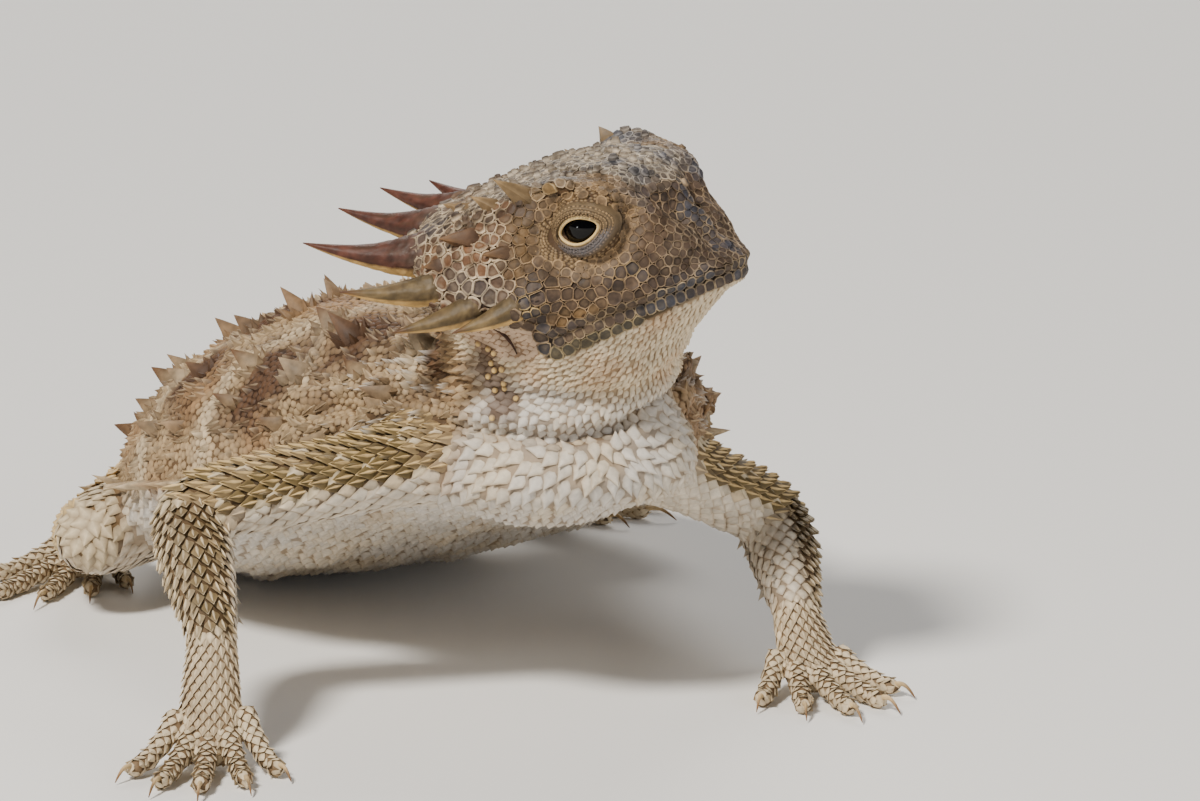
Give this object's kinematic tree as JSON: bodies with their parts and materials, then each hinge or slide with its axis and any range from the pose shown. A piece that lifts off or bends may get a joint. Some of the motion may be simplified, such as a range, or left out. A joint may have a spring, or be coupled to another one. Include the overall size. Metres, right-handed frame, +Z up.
{
  "type": "regal horned lizard",
  "caption": "Life-size still model of a regal horned lizard, crouched with its chest raised and its head turned to its left.",
  "frame": {"origin": "on the floor under the pelvis, at the middle of the flat that the rear of the belly rests on", "axes": "+Z up, -Y the way the body faces, +X the animal's left side"},
  "size_m": [0.0684, 0.1045, 0.0399],
  "materials": {
    "back_skin": "dry scaly skin, sandy tan with dark brown blotches and raised spines",
    "head_skin": "rough polygon scales, brown and blue-grey with pale rims",
    "throat_skin": "small smooth overlapping scales, cream white",
    "limb_skin": "keeled pointed scales, olive tan above and white below",
    "horn": "hard keratin, reddish brown with an ochre lower edge, lightly pitted",
    "eye": "wet glossy near-black"
  },
  "bodies": {
    "root": {"torso": "back_skin", "tail": "back_skin", "neck": "throat_skin", "head": "head_skin", "lower_jaw": "throat_skin", "eye_left": "eye", "eye_right": "eye", "horn_occipital_inner_left": "horn", "horn_occipital_inner_right": "horn", "horn_occipital_outer_left": "horn", "horn_occipital_outer_right": "horn", "horn_temporal_rear_left": "horn", "horn_temporal_rear_right": "horn", "horn_temporal_middle_left": "horn", "horn_temporal_middle_right": "horn", "horn_temporal_front_left": "horn", "horn_temporal_front_right": "horn", "upper_arm_left": "limb_skin", "upper_arm_right": "limb_skin", "forearm_left": "limb_skin", "forearm_right": "limb_skin", "hand_left": "limb_skin", "hand_right": "limb_skin", "thigh_left": "limb_skin", "thigh_right": "limb_skin", "shank_left": "limb_skin", "shank_right": "limb_skin", "foot_left": "limb_skin", "foot_right": "limb_skin"}
  },
  "joints": []
}
